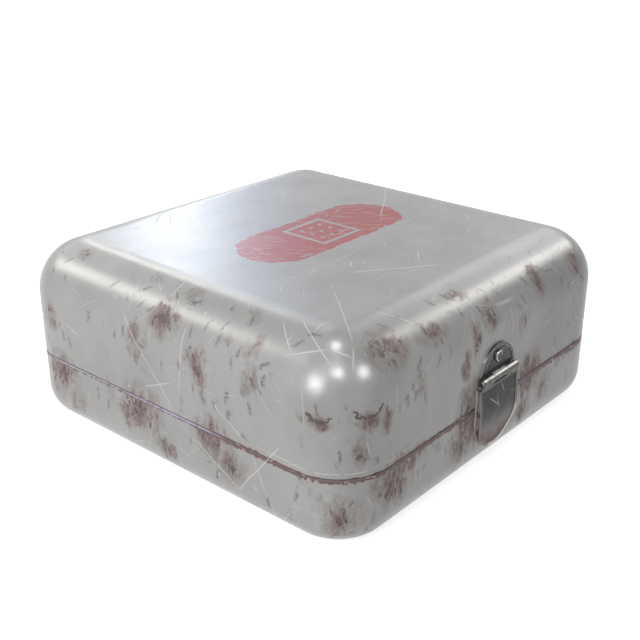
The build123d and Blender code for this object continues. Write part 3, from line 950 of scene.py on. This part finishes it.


# The latch: a dark plate with bright worn edges and painted highlights, and rust low on the flap.
# In millimetres, with the edges' radius and the relief in metres
latchLook = {
    "steel": paint(45, 48, 47),
    "dull": paint(36, 38, 37),
    "lower": paint(73, 67, 66),
    "bright": paint(212, 209, 204),
    "rust": paint(98, 66, 68),
    "tone": {"scale": 0.2, "detail": 4, "roughness": 0.6},
    "toneLimits": (0.35, 0.7),
    "drift": {"scale": 0.14, "detail": 3},
    "driftReach": 10.0,
    "lowerByZ": (37, 28),
    "rustLeftward": 0.2,
    "rustByZ": (19, 31, 1.6, 0),
    "flakes": {"Scale": 0.2, "Softness": 0.14},
    "rustLimits": (0.0, 0.3, 0, 0.85),
    "edges": {"Radius": 0.0005, "Breakup": 0.35},
    "edgesFromBarrel": (0.8, 2.2),
    "edgeAmounts": (0.06, 0.85),
    "roughness": 0.2,
    "rougherByTone": 0.2,
    "rougherInRust": 0.3,
    "rougherBarrel": 0.16,
    "metalLost": 0.85,
    "wearAndHighlightShare": 0.8,
    "rustGrain": {"scale": 2.0, "detail": 3},
    "scratchDepth": 0.4,
    "scratchShare": 0.45,
    "relief": 0.0001,
}

# The barrel round the latch's pin, with a painted highlight along its upper side, broken up in patches
barrelLook = {
    "steel": paint(104, 102, 100),
    "dark": paint(70, 68, 67),
    "top": paint(150, 149, 146),
    "reach": 2.3,
    "soft": 0.2,
    "tone": {"scale": 0.5, "detail": 3, "roughness": 0.6},
    "toneLimits": (0.4, 0.6),
    "towardsTop": (0, -0.5, 0.87),
    "topLimits": (0.88, 1.0),
    "highlightBreaks": {"scale": 0.3, "detail": 3},
    "highlightBreakLimits": (0.3, 0.55, 0.55, 1),
}


def barrelColour(tree, place, normal, look):
    tone = ranged(tree, cloud(tree, place, **look["tone"]), *look["toneLimits"])
    rolled = blended(tree, tone, look["steel"], look["dark"])
    # A painted highlight where the barrel faces up and outward
    paintedHighlight = ranged(tree, vectors(tree, "DOT_PRODUCT", normal, look["towardsTop"]), *look["topLimits"])
    paintedHighlight = times(tree, paintedHighlight, ranged(tree, cloud(tree, place, **look["highlightBreaks"]), *look["highlightBreakLimits"]))
    return blended(tree, paintedHighlight, rolled, look["top"])


# The latch's walls that stand out from the box: a lighter colour as painted light, weaker above the pin,
# browned with rust, and a painted highlight along their outer edge
latchWalls = {
    "colour": paint(142, 132, 127),
    "byNormal": (0.45, 0.75),
    "fromBarrel": 0.3,
    "abovePin": (1, 3, 1, 0.35),
    "brown": {"scale": 0.3, "detail": 3},
    "brownLimits": (0.4, 0.6),
    "lineFromPin": (1.2, 1.5),
    "lineBreaks": {"scale": 0.4, "detail": 3},
    "lineLimits": (0.3, 0.45, 0.3, 0.9),
}


def latchWallMask(tree, facing, away, up, look):
    sideways = most(tree, sums(tree, "ABSOLUTE", facing["X"]), facing["Y"])
    walls = ranged(tree, sideways, *look["byNormal"])
    offBarrel = ranged(tree, away, barrelLook["reach"], barrelLook["reach"] + look["fromBarrel"])
    walls = times(tree, walls, offBarrel)
    return times(tree, walls, ranged(tree, up, *look["abovePin"]))


# Painted highlights on the latch: a bright ring round its rivet, open on one side, and a bright curve on the
# flap's rim at the lower right
rivetGlint = {
    "abovePin": 10.5,
    "radius": 2.75,
    "width": (0.42, 0.15, 0, 0.75),
    "slant": 0.6,
    "openFrom": (2.6, 1.8),
    "byNormal": (-0.3, -0.6),
}
flapRimHighlight = {
    "belowPin": 24.2,
    "radius": 17.9,
    "width": (0.95, 0.5),
    "lowRight": (0.6, 0.8),
    "from": (9, 13),
    "byNormal": (-0.2, -0.5),
    "share": 0.9,
}


def rivetGlintMask(tree, xyz, facing, up, look):
    rivetUp = minus(tree, up, look["abovePin"])
    glintRing = apart(tree, flatLength(tree, xyz["X"], rivetUp), look["radius"])
    glintRing = ranged(tree, glintRing, *look["width"])
    openSide = minus(tree, xyz["X"], times(tree, rivetUp, look["slant"]))
    openSide = ranged(tree, openSide, *look["openFrom"])
    return times(tree, glintRing, openSide, ranged(tree, facing["Y"], *look["byNormal"]))


def flapRimHighlightMask(tree, xyz, facing, up, look):
    fromRoundUp = plus(tree, up, look["belowPin"])
    rimHighlight = apart(tree, flatLength(tree, xyz["X"], fromRoundUp), look["radius"])
    rimHighlight = ranged(tree, rimHighlight, *look["width"])
    right, low = look["lowRight"]
    lowRight = minus(tree, times(tree, xyz["X"], right), times(tree, fromRoundUp, low))
    lowRight = ranged(tree, lowRight, *look["from"])
    return times(tree, rimHighlight, lowRight, ranged(tree, facing["Y"], *look["byNormal"]), look["share"])


# Scratches on the latch: strokes all over, and cuts from one place to another across its face.
# The cuts show at any depth, so their middle number is nothing
latchScratches = {
    "strokes": {"Spacing": 10.0, "Length": 7.0, "Width": 0.2, "Bend": 1.5, "Amount": 0.3},
    "cuts": [
        ((-10, 0, 47), (1, 0, 38)), ((2, 0, 52), (6, 0, 44)), ((-2, 0, 45), (1, 0, 36)),
        ((-12, 0, 62), (-5, 0, 72)),
    ],
    "cutWidth": 0.35,
    "outward": (0, -1, 0),
}


def latchScratchMask(tree, place, look):
    mask = useGroup(tree, strokeGroup, Vector=place, **look["strokes"])
    for start, end in look["cuts"]:
        cut = cutMask(tree, place, start, end, Vector(look["outward"]), look["cutWidth"])
        mask = most(tree, mask, cut)
    return mask


def makeLatchSteel(look):
    material, tree, place, normal = newMaterial("latchSteel")
    xyz = separated(tree, place)
    facing = separated(tree, normal)
    colour, tone = steelTone(tree, place, look)
    drift = swung(tree, cloud(tree, place, **look["drift"]), look["driftReach"])
    height = plus(tree, xyz["Z"], drift)
    colour = blended(tree, ranged(tree, height, *look["lowerByZ"]), colour, look["lower"])

    up = minus(tree, xyz["Z"], pinHeight)
    away = flatLength(tree, minus(tree, xyz["Y"], pinOut), up)
    barrel = ranged(tree, away, barrelLook["reach"] + barrelLook["soft"], barrelLook["reach"])
    colour = blended(tree, barrel, colour, barrelColour(tree, place, normal, barrelLook))

    # The walls' lighter colour is painted light, browned by rust
    walls = latchWallMask(tree, facing, away, up, latchWalls)
    brown = ranged(tree, cloud(tree, place, **latchWalls["brown"]), *latchWalls["brownLimits"])
    colour = blended(tree, walls, colour, blended(tree, brown, latchWalls["colour"], look["rust"]))

    # Rust gathers low on the flap, most of all on its left
    leftward = withShare(tree, height, xyz["X"], look["rustLeftward"])
    density = ranged(tree, leftward, *look["rustByZ"])
    rust = useGroup(tree, flakeGroup, Vector=place, Density=density, **look["flakes"])
    rust = times(tree, rust, ranged(tree, density, *look["rustLimits"]))
    colour = blended(tree, rust, colour, look["rust"])

    # Edges are worn bright, less so near the barrel
    offBarrel = [barrelLook["reach"] + gap for gap in look["edgesFromBarrel"]]
    amount = ranged(tree, away, *offBarrel, *look["edgeAmounts"])
    edge = useGroup(tree, edgeGroup, Vector=place, Amount=amount, **look["edges"])
    # The rivet's ring and the flap's rim are painted highlights in the worn edges' bright colour
    glintRing = rivetGlintMask(tree, xyz, facing, up, rivetGlint)
    rimHighlight = flapRimHighlightMask(tree, xyz, facing, up, flapRimHighlight)
    scratch = latchScratchMask(tree, place, latchScratches)
    # A painted highlight along the walls' outer edge
    line = ranged(tree, xyz["Y"], *(pinOut + gap for gap in latchWalls["lineFromPin"]))
    breaks = ranged(tree, cloud(tree, place, **latchWalls["lineBreaks"]), *latchWalls["lineLimits"])
    line = times(tree, line, walls, breaks)
    bright = most(tree, edge, glintRing, rimHighlight, line, times(tree, scratch, look["scratchShare"]))
    colour = blended(tree, bright, colour, look["bright"])

    roughness = withShare(tree, look["roughness"], tone, look["rougherByTone"])
    roughness = withShare(tree, roughness, rust, look["rougherInRust"])
    roughness = withShare(tree, roughness, barrel, look["rougherBarrel"])
    # The painted highlights lose metal as the worn edges do
    worn = times(tree, most(tree, edge, glintRing, rimHighlight), look["wearAndHighlightShare"])
    covered = most(tree, rust, walls, worn)
    finishSteel(tree, place, look, colour, roughness, covered, rust, scratch)
    return material


enamelCoat = makeEnamel(enamel)
latchSteel = makeLatchSteel(latchLook)
hingeSteel = makeSteel("hingeSteel", hingeLook)
bandSteel = makeSteel("bandSteel", bandLook)
springSteel = makeSteel("springSteel", springLook)
print("finishes made")

# The pieces that aren't named here are hinge steel
finishes = {
    "base_shell": enamelCoat, "lid_shell": enamelCoat,
    "latch_plate": latchSteel, "latch_flap": latchSteel, "latch_pin": latchSteel,
    "latch_top_rivet": latchSteel, "latch_foot_rivets": latchSteel, "keeper_rivets": latchSteel,
    "latch_spring": springSteel,
    "base_collar": bandSteel, "keeper_plate": bandSteel, "latch_backing_plate": bandSteel,
    "hinge_base_washers": bandSteel, "hinge_lid_washers": bandSteel,
}
for nodeName, node in nodes.items():
    node.data.materials.clear()
    node.data.materials.append(finishes.get(nodeName, hingeSteel))
print("finishes given to the pieces")
